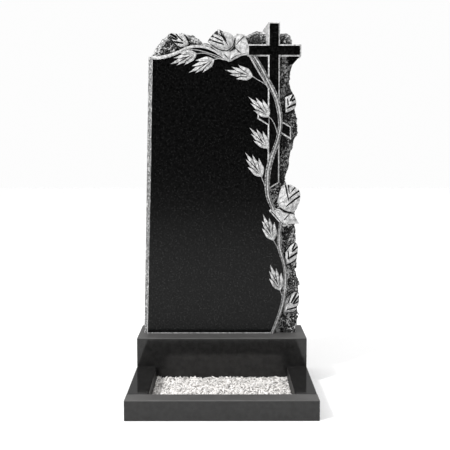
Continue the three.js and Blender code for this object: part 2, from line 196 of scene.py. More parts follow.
# One finish of stone: its two ground colours, flecks, roughness and bump
finishes = {
    "polishedGranite": {
        "crystal": 190.0, "patch": 95.0, "cut": 0.55, "dark": 0.0004, "light": 0.0040, "fleck": 0.016,
        "fleckAmount": 0.5, "rough": (0.16, 0.20), "specular": 0.145, "shine": 0.40,
    },
    "mirrorGranite": {
        "crystal": 500.0, "patch": 60.0, "cut": 0.56, "dark": 0.012, "light": 0.019, "warmth": 0.02,
        "fleck": 0.040, "fleckAmount": 0.5, "rough": (0.05, 0.09), "specular": 0.32,
    },
    "honedGranite": {
        "crystal": 500.0, "patch": 22.0, "cut": 0.57, "dark": 0.070, "light": 0.086, "warmth": 0.02,
        "fleck": 0.12, "fleckAmount": 0.6, "rough": (0.40, 0.50), "bump": 0.05, "depth": 0.0003,
        "specular": 0.3,
    },
    "sawnGranite": {
        "crystal": 500.0, "patch": 22.0, "cut": 0.57, "dark": 0.016, "light": 0.026, "warmth": 0.02,
        "fleck": 0.05, "fleckAmount": 0.6, "rough": (0.50, 0.62), "bump": 0.1, "depth": 0.0004,
        "specular": 0.2,
    },
    "peckedGranite": {
        **carvedLook, "crystal": 230.0, "patch": 90.0, "cut": 0.54, "dark": 0.22, "light": 0.62,
        "fleck": 0.95, "fleckAmount": 0.7, "depth": 0.0014,
    },
    # darker carved finish of the vine and stems, also painted shade on the cross's flank
    "barkAndShadeGranite": {
        **carvedLook, "crystal": 170.0, "patch": 130.0, "cut": 0.53, "dark": 0.20, "light": 0.44,
        "fleck": 0.76, "fleckAmount": 0.55, "bump": 0.7, "depth": 0.0016,
    },
    "dressedGranite": {
        **carvedLook, "crystal": 150.0, "patch": 160.0, "cut": 0.52, "dark": 0.05, "light": 0.23,
        "fleck": 0.60, "fleckAmount": 0.85, "depth": 0.0018,
    },
    # near-black finish of cuts, hollows and backings: painted shade where the carving is deep
    "grooveShadeGranite": {
        "crystal": 380.0, "patch": 60.0, "cut": 0.58, "dark": 0.012, "light": 0.025, "fleck": 0.08,
        "fleckAmount": 0.5, "rough": (0.6, 0.8), "bump": 0.3, "depth": 0.0010, "specular": 0.2,
    },
    "brokenGranite": {
        **brokenLook, "dark": 0.005, "light": 0.026, "fleck": 0.50, "fleckAmount": 0.45,
        "bruise": 0.62, "bruiseScale": 185.0,
    },
    "rimGranite": {
        **brokenLook, "dark": 0.10, "light": 0.34, "fleck": 0.70, "fleckAmount": 0.6, "rough": (0.65, 0.90),
        "bump": 0.8, "depth": 0.0025, "bruise": 0.70, "bruiseScale": 130.0,
    },
    "shadedGranite": {
        **brokenLook, "cut": 0.56, "dark": 0.004, "light": 0.018, "fleck": 0.40, "fleckAmount": 0.35,
        "bruise": 0.32, "bruiseScale": 190.0,
    },
    "marbleChips": {
        **splinterLook, "dark": 0.78, "light": 0.89, "warmth": 0.025, "fleck": 0.95, "rough": (0.45, 0.70),
        "specular": 0.4,
    },
    "shadedChips": {
        **splinterLook, "dark": 0.46, "light": 0.62, "fleck": 0.80, "rough": (0.55, 0.80), "specular": 0.3,
    },
    # darker grey of the mass under the chips: painted shade in the gaps
    "chipGapShade": {
        **splinterLook, "dark": 0.36, "light": 0.50, "fleck": 0.65, "rough": (0.75, 0.90), "specular": 0.2,
    },
}


def makeStone(name, grain, bruiseGroup):
    look = finishes[name]
    material, tree = newMaterial(name)
    shader = tree.nodes["Principled BSDF"]
    place = addNode(tree, "ShaderNodeTexCoord").outputs["Object"]
    stone = addNode(tree, "ShaderNodeGroup", {
        "Vector": place, "Crystal": look["crystal"], "Patch": look["patch"], "Cut": look["cut"],
    }, node_tree=grain).outputs
    ramp = addNode(tree, "ShaderNodeValToRGB", {"Fac": stone["Cloud"]})
    stops = ((0.35, look["dark"]), (0.65, look["light"]))
    for element, (at, value) in zip(ramp.color_ramp.elements, stops):
        element.position = at
        element.color = (*grey(value, look.get("warmth", 0.0)), 1)
    ground = ramp.outputs["Color"]
    if "bruise" in look:
        bruises = addNode(tree, "ShaderNodeGroup", {
            "Vector": place, "Scale": look["bruiseScale"], "Warp": look["bruiseWarp"],
        }, node_tree=bruiseGroup)
        ground = mixColour(tree, bruises.outputs["Mask"], ground, look["bruise"])
    amount = addMath(tree, "MULTIPLY", stone["Fleck"], look["fleckAmount"])
    low, high = look["rough"]
    rough = addNode(tree, "ShaderNodeMapRange", {"Value": stone["Cloud"], "To Min": low, "To Max": high})
    feed(tree, shader, {
        "Base Color": mixColour(tree, amount, ground, look["fleck"]),
        "Roughness": rough.outputs["Result"],
        "Specular IOR Level": look["specular"],
    })
    if "shine" in look:  # the light crystals take a better polish than the ground between them
        shine = addMath(tree, "MULTIPLY", stone["Fleck"], look["shine"])
        feed(tree, shader, {"Coat Weight": shine, "Coat Roughness": high})
    if "bump" in look:
        bump = addNode(tree, "ShaderNodeBump", {
            "Strength": look["bump"], "Distance": look["depth"], "Height": stone["Height"],
        })
        feed(tree, shader, {"Normal": bump.outputs["Normal"]})
    return material


# Smooth noise for the broad shape of the break and of the bed's top
def cornerNoise(i, j, k):
    s = math.sin(i * 127.1 + j * 311.7 + k * 74.7) * 43758.5453
    return s - math.floor(s)


def broadNoise(x, y, z):
    cell = [math.floor(t) for t in (x, y, z)]
    part = [t - c for t, c in zip((x, y, z), cell)]
    fx, fy, fz = (t * t * (3 - 2 * t) for t in part)
    total = 0.0
    for dz, wz in ((0, 1 - fz), (1, fz)):
        for dy, wy in ((0, 1 - fy), (1, fy)):
            for dx, wx in ((0, 1 - fx), (1, fx)):
                total += wx * wy * wz * cornerNoise(cell[0] + dx, cell[1] + dy, cell[2] + dz)
    return total


# Chipped rock: tilted facets of a chisel in two sizes, with grit on them, in millimetres
rockLook = {
    "facet": 30.0, "facetDepth": 17.0, "chip": 12.0, "chipDepth": 5.5, "grit": 5.0, "gritDepth": 1.8,
    "slope": 1.2, "stagger": 0.35, "scatter": 7.3,
}


def facetHeight(place, size):
    at = place / size
    centre = noise.voronoi(at, distance_metric="DISTANCE")[1][0]
    tilt = noise.cell_vector(centre * rockLook["scatter"]) - Vector((0.5, 0.5, 0.5))
    return (at - centre).dot(tilt) * rockLook["slope"] + tilt.z * rockLook["stagger"]


def rockRelief(place):
    look = rockLook
    height = look["facetDepth"] * facetHeight(place, look["facet"])
    height += look["chipDepth"] * facetHeight(place + Vector((31, 17, 5)), look["chip"])
    return height + look["gritDepth"] * noise.noise(place / look["grit"])


# Curves drawn on the face
def alongCurve(points, t):
    spans = len(points) - 1
    at = min(max(t, 0.0), 1.0) * spans
    i = min(int(at), spans - 1)
    f = at - i
    p1, p2 = Vector(points[i]), Vector(points[i + 1])
    p0 = Vector(points[i - 1]) if i else 2 * p1 - p2
    p3 = Vector(points[i + 2]) if i + 2 <= spans else 2 * p2 - p1
    bend = 2 * p0 - 5 * p1 + 4 * p2 - p3
    swing = 3 * p1 - p0 - 3 * p2 + p3
    return 0.5 * (2 * p1 + (p2 - p0) * f + bend * f * f + swing * f * f * f)


def curveLength(points):
    return sum((Vector(b) - Vector(a)).length for a, b in zip(points, points[1:]))


def sampleCurve(points, count):
    return [tuple(alongCurve(points, i / count)) for i in range(count + 1)]


def resample(points, spacing):
    result = []
    for a, b in zip(points, points[1:]):
        start, end = Vector(a), Vector(b)
        count = max(1, round((end - start).length / spacing))
        result += [tuple(start.lerp(end, i / count)) for i in range(count)]
    return result + [points[-1]]


# Every mesh of the slab has the same finishes, so that they keep their numbers when pieces are joined
stoneMaterials = {}


def stoneMesh(bm, name, kinds=slabFinishes):
    mesh = bpy.data.meshes.new(name)
    for key in kinds:
        mesh.materials.append(stoneMaterials[key])
    bm.to_mesh(mesh)
    bm.free()
    return mesh


def closeMesh(bm, name, finish=None):
    bmesh.ops.recalc_face_normals(bm, faces=bm.faces[:])
    if bm.calc_volume(signed=True) < 0:
        bmesh.ops.reverse_faces(bm, faces=bm.faces[:])
    if finish is not None:
        for face in bm.faces:
            face.material_index = finish
    return stoneMesh(bm, name)


def carve(name, block, steps):
    worker = addObject(name, block)
    helpers, gatherings = [], []
    for operation, members in itertools.groupby(steps, key=lambda step: step[0]):
        gathered = bpy.data.collections.new(name + operation)
        gatherings.append(gathered)
        for _, mesh in members:
            helper = bpy.data.objects.new(mesh.name, mesh)
            gathered.objects.link(helper)
            helpers.append(helper)
        cut = worker.modifiers.new(operation, "BOOLEAN")
        cut.operation = operation
        cut.solver = "MANIFOLD"
        cut.operand_type = "COLLECTION"
        cut.collection = gathered
    graph = bpy.context.evaluated_depsgraph_get()
    result = bpy.data.meshes.new_from_object(worker.evaluated_get(graph))
    for used in [worker, *helpers]:
        mesh = used.data
        bpy.data.objects.remove(used)
        bpy.data.meshes.remove(mesh)
    for gathered in gatherings:
        bpy.data.collections.remove(gathered)
    result.name = name
    return result


def makeBox(size, middle):
    bm = bmesh.new()
    bmesh.ops.create_cube(bm, size=1)
    bmesh.ops.scale(bm, vec=size, verts=bm.verts[:])
    bmesh.ops.translate(bm, vec=middle, verts=bm.verts[:])
    return bm


def prism(outline, low, high, side, top):
    bm = bmesh.new()
    floor = bm.faces.new([bm.verts.new((x, h, low)) for x, h in outline])
    walls = bmesh.ops.extrude_face_region(bm, geom=[floor], use_keep_orig=True)["geom"]
    raised = [item for item in walls if isinstance(item, bmesh.types.BMVert)]
    bmesh.ops.translate(bm, verts=raised, vec=(0, 0, high - low))
    for face in bm.faces:
        flat = max(v.co.z for v in face.verts) - min(v.co.z for v in face.verts) < 0.01
        face.material_index = top if flat else side
    return bm


# A polished front is laid out in small squares, so that what is carved over it leaves simple faces
def splitFront(bm, spacing=24.0):
    for axis in (Vector((1, 0, 0)), Vector((0, 1, 0))):
        places = [vert.co.dot(axis) for vert in bm.verts]
        place = min(places) + spacing
        while place < max(places):
            polished = [face for face in bm.faces if face.material_index == polishedSlot]
            front = [face for face in polished if face.calc_center_median().z > -1]
            lines = dict.fromkeys(edge for face in front for edge in face.edges)
            corners = dict.fromkeys(vert for face in front for vert in face.verts)
            bmesh.ops.bisect_plane(
                bm, geom=[*front, *lines, *corners], dist=1e-4, plane_co=axis * place, plane_no=axis,
            )
            place += spacing


# The slab's outline: its dressed left edge, and its broken top and right side
slabDrawing = {
    "foot": [(195, 0), (-305, 0)],
    "shoulder": (-280, 1071),
    "marginFoot": -292,
    "marginTop": (-265, 1060),
    "marginDepth": 15,
    "brokenTop": [
        (-268, 1074), (-268, 1084), (-247, 1111), (-220, 1142), (-203, 1160), (-178, 1161), (-131, 1155),
        (-106, 1151), (-92, 1137), (-62, 1126), (-46, 1118), (-20, 1138), (20, 1148), (60, 1152), (88, 1153),
        (102, 1158), (120, 1165), (135, 1170), (161, 1170), (222, 1162), (250, 1162), (263, 1150), (270, 1130),
    ],
    "brokenSide": [
        (268, 1092), (271, 1041), (261, 998), (261, 971), (273, 933), (281, 900), (284, 845), (292, 807),
        (297, 782), (283, 756), (266, 701), (260, 660), (250, 628), (244, 598), (262, 565), (288, 545),
        (295, 510), (280, 470), (291, 433), (284, 424), (287, 390), (285, 350), (291, 296), (288, 243),
        (300, 205), (304, 165), (297, 120), (299, 60), (292, 0),
    ],
    "sideFrom": 240,
    "dressedTo": -262,
    "edgeWander": 4,
    "edgeRounding": 3,
    "edgeGrain": 0.045,
    "edgeChips": {"arris": 0.15, "side": 0.5},
    "rimWidth": 18,
    "rimFall": 13,
    "rimLight": 0.35,
    "rimPatches": 0.8,
    "shadedFrom": (221, 600),
    "breakFoot": (177, 556),
    "trenchFoot": (177, 562),
    "trench": 9,
    "trenchFall": 8,
    "setBack": 17,
    "roughness": 9,
    "broadShare": 1.2,
    "closeShare": 0.8,
    "frontGrain": 0.035,
    "step": 3.2,
    "smoothTo": math.radians(32),
}


def makeBlock():
    drawing = slabDrawing
    rough = resample([drawing["shoulder"], *drawing["brokenTop"], *drawing["brokenSide"]], drawing["step"])
    outline = [*drawing["foot"], *rough]
    bm = prism(outline, -drawnDepth, 0, rockSlot, polishedSlot)
    depthEdges = [e for e in bm.edges if abs(e.verts[0].co.z - e.verts[1].co.z) > 1]
    bmesh.ops.subdivide_edges(bm, edges=depthEdges, cuts=int(drawnDepth / drawing["step"]) - 1)
    shoulder = drawing["shoulder"][1]
    wanderMost, grain, chips = drawing["edgeWander"], drawing["edgeGrain"], drawing["edgeChips"]
    for vert in bm.verts:
        x, h, z = vert.co
        isTop = h > shoulder + 1
        isSide = not isTop and x > drawing["sideFrom"] and h > 1
        if not (isTop or isSide):
            continue
        rounding = abs(z / drawnDepth + 0.5) * 2 * drawing["edgeRounding"]
        wander = (broadNoise(x * grain, h * grain, z * grain) - 0.5) * 2 * wanderMost - rounding
        wander += rockRelief(vert.co) * chips["arris" if abs(z) < 1 or abs(z + drawnDepth) < 1 else "side"]
        if isTop:
            vert.co.y += wander
        if isSide:
            vert.co.x += wander
    for face in bm.faces:
        x, h, _ = face.calc_center_median()
        if face.material_index == rockSlot and x < drawing["dressedTo"] and h < shoulder:
            face.material_index = dressedSlot
    splitFront(bm)
    return closeMesh(bm, "block")


bandLine = [
    (-268, 1067), (-235, 1067), (-197, 1075), (-159, 1090), (-132, 1103), (-102, 1109), (-71, 1107),
    (-37, 1096), (-7, 1078), (28, 1054),
]
underSepals = [(52, 1066), (74, 1077), (98, 1080)]
vineUpper = [
    (123, 1072), (150, 1029), (174, 983), (194, 945), (211, 905), (221, 860), (225, 815), (219, 772),
    (207, 730), (190, 682), (179, 635), (176, 585), (178, 545), (187, 515), (200, 486),
]
vineLower = [
    (230, 436), (224, 400), (223, 355), (228, 322), (243, 270), (248, 215), (243, 150), (229, 88), (195, -6),
]
vineStrand = [(106, 1075), (140, 1015), (174, 960), (203, 905)]


def lineTree(points):
    places = resample(points, slabDrawing["step"])
    tree = kdtree.KDTree(len(places))
    for i, (x, h) in enumerate(places):
        tree.insert((x, h, 0), i)
    tree.balance()
    return tree


# The rock beside the band, the post and the vine, set back behind the polished face
def makeBrokenAway():
    drawing = slabDrawing
    beyond = 60
    right, top, left = 297 + beyond, drawnHeight + beyond, drawing["shoulder"][0] - beyond
    outline = [
        (left, bandLine[0][1]), *sampleCurve(bandLine, 40), *underSepals,
        (cross["middle"], cross["barMiddle"]), (cross["middle"], cross["foot"] + 10), drawing["breakFoot"],
        *sampleCurve(vineUpper[-3:], 8), *sampleCurve(vineLower[:-1], 24),
        (195, 0), (194, -beyond), (right, -beyond), (right, top), (left, top),
    ]
    deepest = -2 * drawing["setBack"] - drawing["roughness"]
    zone = closeMesh(prism(outline, deepest, beyond, rockSlot, rockSlot), "zone")
    bm = bmesh.new()
    wide, high = right - left, top + beyond
    columns, rows = round(wide / drawing["step"]), round(high / drawing["step"])
    bmesh.ops.create_grid(bm, x_segments=columns, y_segments=rows, size=0.5)
    bmesh.ops.scale(bm, vec=(wide, high, 1), verts=bm.verts[:])
    bmesh.ops.translate(bm, vec=((left + right) / 2, (top - beyond) / 2, 0), verts=bm.verts[:])
    grain = drawing["frontGrain"]
    besidePost = cross["middle"] + cross["width"] / 2
    topTree = lineTree(drawing["brokenTop"])
    rimTree = lineTree([*drawing["brokenTop"], *drawing["brokenSide"]])
    postTree = lineTree([(besidePost, cross["top"]), (besidePost, cross["foot"]), drawing["trenchFoot"]])
    for vert in bm.verts:
        x, h, _ = vert.co
        nearness = max(0.0, 1 - rimTree.find((x, h, 0))[2] / drawing["rimWidth"])
        broad = broadNoise(x * grain, h * grain, 3) - 0.5
        close = broadNoise(x * 3 * grain, h * 3 * grain, 7) - 0.5
        swell = (drawing["broadShare"] * broad + drawing["closeShare"] * close) * drawing["roughness"]
        swell -= drawing["rimFall"] * nearness ** 2
        swell -= drawing["trenchFall"] * max(0.0, 1 - postTree.find((x, h, 0))[2] / drawing["trench"])
        vert.co.z = -drawing["setBack"] + swell + rockRelief(Vector((x, h, 40)))
    for face in bm.faces:
        x, h, _ = face.calc_center_median()
        nearness = 1 - topTree.find((x, h, 0))[2] / drawing["rimWidth"]
        patchy = broadNoise(x * 3 * grain, h * 3 * grain, 19) - 0.5
        face.material_index = rockSlot
        if x > drawing["shadedFrom"][0] and drawing["shadedFrom"][1] < h < cross["barMiddle"]:
            face.material_index = shadedSlot
        elif nearness + drawing["rimPatches"] * patchy > drawing["rimLight"]:
            face.material_index = rimSlot
    rim = [e for e in bm.edges if e.is_boundary]
    lifted = bmesh.ops.extrude_edge_only(bm, edges=rim)["geom"]
    for vert in (item for item in lifted if isinstance(item, bmesh.types.BMVert)):
        vert.co.z = 2 * beyond
    bmesh.ops.holes_fill(bm, edges=[e for e in bm.edges if e.is_boundary], sides=0)
    blank = closeMesh(bm, "blank")
    return carve("brokenAway", zone, [("INTERSECT", blank)])


def hull(corners, name, finish):
    bm = bmesh.new()
    for corner in corners:
        bm.verts.new(corner)
    made = bmesh.ops.convex_hull(bm, input=bm.verts[:])
    bmesh.ops.delete(bm, geom=list({*made["geom_interior"], *made["geom_unused"]}), context="VERTS")
    return closeMesh(bm, name, finish)


# A body with upright sides, and a ridge along its crest where it has one
def makeRidged(outline, low, high, name, finish=peckedSlot, crest=(), top=0):
    corners = [(x, h, z) for x, h in outline for z in (low, high)] + [(x, h, top) for x, h in crest]
    return hull(corners, name, finish)


def makeMarginCut():
    drawing = slabDrawing
    beyond = 30
    foot, shoulder = Vector((drawing["foot"][1][0], 0)), Vector(drawing["shoulder"])
    arrisFoot, arrisTop = Vector((drawing["marginFoot"], 0)), Vector(drawing["marginTop"])
    lean, rise = (shoulder - foot).normalized() * beyond, (arrisTop - arrisFoot).normalized() * beyond
    corners = []
    for edge, inner in ((foot - lean, arrisFoot - rise), (shoulder + lean, arrisTop + rise)):
        slope = drawing["marginDepth"] / (inner.x - edge.x)
        corners += [(inner.x + beyond, inner.y, slope * beyond), (inner.x + beyond, inner.y, 2 * beyond)]
        corners += [(edge.x - beyond, edge.y, -drawing["marginDepth"] - slope * beyond)]
        corners += [(edge.x - beyond, edge.y, 2 * beyond)]
    return hull(corners, "marginCut", dressedSlot)


# A thin light chamfer along the inner edge of the margin, and a step along the foot of the face
chamferLook = {"arris": 1.3, "arrisFall": 1.5, "arrisWide": 0.6, "foot": 4.5, "footDepth": 1.2, "footEnd": 192}


def makeArrisCut():
    drawing, look = slabDrawing, chamferLook
    inner, outer = look["arris"], look["arris"] + look["arrisWide"]
    corners = []
    for x, h in ((drawing["marginFoot"], -5), (drawing["marginTop"][0], drawing["marginTop"][1] + 5)):
        corners += [(x + inner, h, 0), (x - outer, h, -look["arrisFall"])]
        corners += [(x + inner - 4, h, 12), (x - outer - 4, h, 12)]
    return hull(corners, "arrisCut", peckedSlot)


def makeFootCut():
    reach, depth, beyond = chamferLook["foot"], chamferLook["footDepth"], 20
    corners = []
    for x in (slabDrawing["marginFoot"], chamferLook["footEnd"]):
        corners += [(x, reach, -depth), (x, reach, beyond), (x, -beyond, beyond), (x, -beyond, -depth)]
    return hull(corners, "footCut", peckedSlot)


# A straight cylinder of unit size in rings, to be bent along a curve of the given length
def straightRod(length, sides, spacing, fewest):
    bm = bmesh.new()
    bmesh.ops.create_cone(bm, cap_ends=True, segments=sides, radius1=1, radius2=1, depth=1)
    runs = [e for e in bm.edges if abs(e.verts[0].co.z - e.verts[1].co.z) > 0.5]
    bmesh.ops.subdivide_edges(bm, edges=runs, cuts=max(fewest, round(length / spacing)))
    return bm


# A point of a curve and the direction to its left there
def besideCurve(points, t):
    small = 1e-3
    run = (alongCurve(points, t + small) - alongCurve(points, t - small)).normalized()
    return alongCurve(points, t), Vector((-run.y, run.x))


# A round rod along a curve, deeper below its level than above it
def makeRod(points, name, width, depth, level, finish=peckedSlot, shift=None, taper=0.0):
    bm = straightRod(curveLength(points), sides=12, spacing=6, fewest=4)
    for vert in bm.verts:
        t = vert.co.z + 0.5
        centre, side = besideCurve(points, t)
        swing, lift = shift(t) if shift else (0.0, 0.0)
        thin = 1 - taper * t
        flat = centre + side * (vert.co.x * width * thin + swing)
        reach = width * thin if vert.co.y > 0 else depth
        vert.co = (flat.x, flat.y, level + lift + vert.co.y * reach)
    return closeMesh(bm, name, finish)


# A cut with a sharp floor along a curve, from its open end to its root, in the near-black groove finish:
# painted shade inside the cut
def makeGroove(points, name, half, floor, top, rootHalf=None, rootFloor=None, shift=None):
    rootHalf = half if rootHalf is None else rootHalf
    rootFloor = floor if rootFloor is None else rootFloor
    bm = straightRod(curveLength(points), sides=3, spacing=7, fewest=1)
    for vert in bm.verts:
        t = vert.co.z + 0.5
        centre, side = besideCurve(points, t)
        swing = shift(t) if shift else 0.0
        isFloor = vert.co.y > 0.9
        reach = 0.0 if isFloor else math.copysign(half + (rootHalf - half) * t, vert.co.x)
        flat = centre + side * (swing + reach)
        vert.co = (flat.x, flat.y, floor + (rootFloor - floor) * t if isFloor else top)
    return closeMesh(bm, name, grooveShadeSlot)


# The vine is a stout bark ridge between two thin ones that wander a little, with grooves between them painted
# near-black as shade
vineLook = {
    "ridge": 5.4, "sideRidge": 3.0, "spread": 6.6, "level": 4.5, "depth": 22, "wander": 1.1, "waves": 7.0,
    "crown": 1.5, "heave": 0.8, "groovePlace": 4.9, "grooveHalf": 2.2, "grooveFloor": 2.5, "grooveTop": 14,
    "lowerSize": 0.78,
}


def vineSwing(place, t):
    return math.sin(vineLook["waves"] * t * 2 * math.pi / 3 + 2.1 * (place + 1))


def makeVine(points, name, size=1.0):
    look = vineLook
    ridges = []
    for place in (-1, 0, 1):
        def shift(t, place=place):
            wave = vineSwing(place, t)
            lift = look["crown"] * (1 - abs(place)) + look["heave"] * wave
            return size * (place * look["spread"] + look["wander"] * wave), lift
        width, finish = (look["sideRidge"], dressedSlot) if place else (look["ridge"], barkAndShadeSlot)
        ridges.append(makeRod(
            points, f"{name}{place}", size * width, look["depth"], look["level"], finish=finish, shift=shift,
        ))
    steps = [("UNION", ridge) for ridge in ridges[1:]]
    for place in (-1, 1):
        def between(t, place=place):
            wave = (vineSwing(0, t) + vineSwing(place, t)) / 2
            return size * (place * look["groovePlace"] + look["wander"] * wave)
        half = size * look["grooveHalf"]
        steps.append(("DIFFERENCE", makeGroove(
            points, f"{name}groove{place}", half, look["grooveFloor"], look["grooveTop"], shift=between,
        )))
    return carve(name, ridges[0], steps)


stems = [
    [(-132, 1099), (-83, 1093), (-26, 1076), (16, 1057)],
    [(-97, 1081), (-64, 1083), (-26, 1069), (8, 1058)],
    [(-31, 1060), (-7, 1063), (24, 1055)],
    [(118, 996), (140, 982), (162, 969), (182, 950)],
    [(152, 615), (164, 584), (174, 556)],
    [(200, 368), (213, 344), (222, 322)],
    [(227, 172), (238, 142)],
]
stemsOverCross = [
    [(176, 845), (190, 834), (203, 812), (213, 780)],
    [(175, 726), (181, 704), (188, 684)],
]
rodLooks = {
    "band": {"points": bandLine, "width": 7.5, "depth": 5, "level": -1.5, "taper": 0.5},
    "bandRight": {"points": [(28, 1054), *underSepals], "width": 4, "depth": 4, "level": -1},
    "strand": {"points": vineStrand, "width": 4, "depth": 8, "level": 3, "finish": barkAndShadeSlot, "taper": 0.3},
}
stemLook = {"width": 1.5, "depth": 3, "level": 1.2, "finish": barkAndShadeSlot}
stemOverLook = {"width": 1.4, "depth": 8, "level": 5.8, "finish": barkAndShadeSlot}

# How wide a blade is along its length: blunt is the curve of its root and sharp that of its point
leafBlade = {"widest": 0.46, "blunt": 1.0, "sharp": 1.25}
petalBlade = {"widest": 0.40, "blunt": 0.7, "sharp": 0.8}
fingerLook = {"fullness": 0.35, "creaseHalf": 0.16}


# A pointed finger of a leaf or petal: a swollen blade from its root to its tip, with a crease along it
def makeFinger(root, tip, half, relief, level, name, blade, depth, crease):
    root, tip = Vector(root), Vector(tip)
    run = tip - root
    side = Vector((-run.y, run.x)).normalized()
    widest = blade["widest"]
    bm = bmesh.new()
    bmesh.ops.create_uvsphere(bm, u_segments=20, v_segments=16, radius=1)
    for vert in bm.verts:
        t = math.acos(max(-1.0, min(1.0, vert.co.z))) / math.pi
        ring = math.hypot(vert.co.x, vert.co.y)
        if t < widest:
            swell = math.sin(math.pi / 2 * t / widest) ** blade["blunt"]
        else:
            swell = ((1 - t) / (1 - widest)) ** blade["sharp"]
            swell *= 1 + fingerLook["fullness"] * (t - widest) / (1 - widest)
        across = vert.co.x / ring * swell if ring > 1e-6 else 0.0
        out = vert.co.y / ring * swell if ring > 1e-6 else 0.0
        out -= crease * math.exp(-(across / fingerLook["creaseHalf"]) ** 2) * max(out, 0.0)
        flat = root + run * t + side * (across * half)
        vert.co = (flat.x, flat.y, level + out * (relief if out > 0 else depth))
    return closeMesh(bm, name, peckedSlot)


leafLook = {
    "relief": 8.5, "reliefStep": 0.6, "lift": 4.5, "crease": 0.38,
    "fingers": [
        ((0.0, 0.0), (1.03, 0.0), 0.112),
        ((0.14, 0.0), (0.82, 0.124), 0.092),
        ((0.14, 0.0), (0.82, -0.162), 0.100),
        ((-0.02, 0.0), (0.56, 0.226), 0.102),
        ((-0.02, 0.0), (0.60, -0.282), 0.116),
    ],
    "grooves": [
        ((0.80, 0.070), (0.40, 0.016)),
        ((0.80, -0.088), (0.44, -0.020)),
        ((0.60, 0.168), (0.12, 0.024)),
        ((0.62, -0.212), (0.14, -0.030)),
    ],
    "grooveHalf": 5.5, "grooveRoot": 2.6, "grooveFloor": 0.8, "grooveTop": 13,
    "veins": [
        ((0.46, 0.0), (0.02, 0.0)),
        ((0.46, 0.187), (0.18, 0.078)),
        ((0.48, -0.225), (0.18, -0.091)),
    ],
    "veinHalf": 7.0, "veinRoot": 4.0, "veinFloor": 2.8,
}
leaves = [
    ((-97, 1082), (-194, 1043), False),
    ((-30, 1059), (-124, 1011), False),
    ((118, 996), (15, 1020), False),
    ((182, 843), (104, 917), True),
    ((177, 724), (109, 799), True),
    ((155, 614), (92, 704), False),
    ((200, 367), (160, 466), False),
    ((227, 171), (189, 269), False),
]


# Places on a leaf are shares of its length along it and to its left
def makeLeaf(number, foot, tip, overCross):
    look = leafLook
    start, along = Vector(foot), Vector(tip) - Vector(foot)
    side = Vector((-along.y, along.x))
    level = look["lift"] if overCross else 0
    blades = []
    for i, (root, end, half) in enumerate(look["fingers"]):
        a, b = (start + along * t + side * s for t, s in (root, end))
        blades.append(makeFinger(
            a, b, half * along.length, look["relief"] - look["reliefStep"] * i, level,
            f"leaf{number}finger{i}", leafBlade, look["relief"] + level, look["crease"],
        ))
    steps = [("UNION", blade) for blade in blades[1:]]
    for kind in ("groove", "vein"):
        floor, top = level + look[kind + "Floor"], level + look["grooveTop"]
        for i, line in enumerate(look[kind + "s"]):
            points = [tuple(start + along * t + side * s) for t, s in line]
            steps.append(("DIFFERENCE", makeGroove(
                points, f"leaf{number}{kind}{i}", look[kind + "Half"], floor, top, look[kind + "Root"],
            )))
    return carve(f"leaf{number}", blades[0], steps)


# The leaves on the broken sides are cut-in bodies that stand in shallow hollows, painted near-black as the
# shadow around them
rockLeafLook = {
    "low": -50, "edge": -7, "crest": 3, "grooveHalf": 9.0, "veinHalf": 4.0, "grooveRoot": 4.5,
    "grooveFloor": -18, "rootFloor": -9, "grooveTop": 8, "hollow": 6, "hollowFloor": -27,
}
rockLeaves = [
    {
        "outline": [
            (-203, 1155), (-191, 1161), (-165, 1155), (-152, 1154), (-140, 1148), (-133, 1131), (-126, 1119),
            (-136, 1109), (-156, 1108), (-169, 1113), (-178, 1122), (-189, 1136),
        ],
        "crest": [(-187, 1150), (-138, 1117)],
        "grooves": [
            [(-203, 1160), (-177, 1146), (-168, 1136)], [(-201, 1147), (-184, 1138), (-172, 1134)],
            [(-186, 1127), (-170, 1124), (-146, 1120)],
        ],
        "vein": [(-175, 1158), (-164, 1144), (-148, 1130)],
    },
    {
        "outline": [
            (243, 917), (261, 925), (276, 930), (282, 916), (286, 902), (286, 889), (282, 876), (268, 869),
            (257, 862), (246, 860),
        ],
        "crest": [(253, 874), (270, 906)],
        "grooves": [
            [(276, 929), (268, 915), (261, 902)], [(284, 913), (276, 908), (268, 902)],
            [(288, 893), (268, 884), (250, 875)],
        ],
        "vein": [(252, 913), (253, 900), (254, 886)],
    },
    {
        "outline": [
            (248, 317), (261, 335), (272, 347), (285, 357), (294, 351), (297, 339), (296, 316), (292, 300),
            (281, 286), (264, 276), (252, 272), (247, 295),
        ],
        "crest": [(256, 284), (278, 333)],
        "grooves": [
            [(288, 359), (282, 346), (273, 330)], [(298, 344), (287, 333), (272, 322)],
            [(298, 319), (274, 304), (260, 295)],
        ],
        "vein": [(258, 324), (259, 308), (258, 292)],
    },
    {
        "outline": [
            (241, 80), (264, 82), (282, 85), (292, 94), (301, 116), (303, 131), (303, 153), (287, 161),
            (269, 148), (253, 136), (243, 102),
        ],
        "crest": [(249, 90), (285, 137)],
        "grooves": [
            [(307, 151), (292, 135), (278, 116)], [(307, 129), (295, 122), (283, 117)],
            [(297, 104), (280, 99), (255, 94)], [(295, 161), (283, 143), (271, 120)],
        ],
        "vein": [(271, 151), (265, 135), (257, 116)],
    },
]


def makeRockLeaf(number, drawing):
    look = rockLeafLook
    name = f"rockLeaf{number}"
    body = makeRidged(
        drawing["outline"], look["low"], look["edge"], name, crest=drawing["crest"], top=look["crest"],
    )
    cuts = [(points, look["grooveHalf"]) for points in drawing["grooves"]]
    cuts.append((drawing["vein"], look["veinHalf"]))
    ends = look["grooveFloor"], look["grooveTop"], look["grooveRoot"], look["rootFloor"]
    return carve(name, body, [
        ("DIFFERENCE", makeGroove(points, f"{name}groove{i}", half, *ends))
        for i, (points, half) in enumerate(cuts)
    ])


def makeHollow(number, drawing):
    look = rockLeafLook
    edge = [Vector(place) for place in drawing["outline"]]
    middle = sum(edge, Vector((0, 0))) / len(edge)
    wider = [place + (place - middle).normalized() * look["hollow"] for place in edge]
    # the hollow takes the near-black groove finish: painted shadow around the leaf
    return makeRidged(wider, look["hollowFloor"], drawnDepth, f"hollow{number}", grooveShadeSlot)


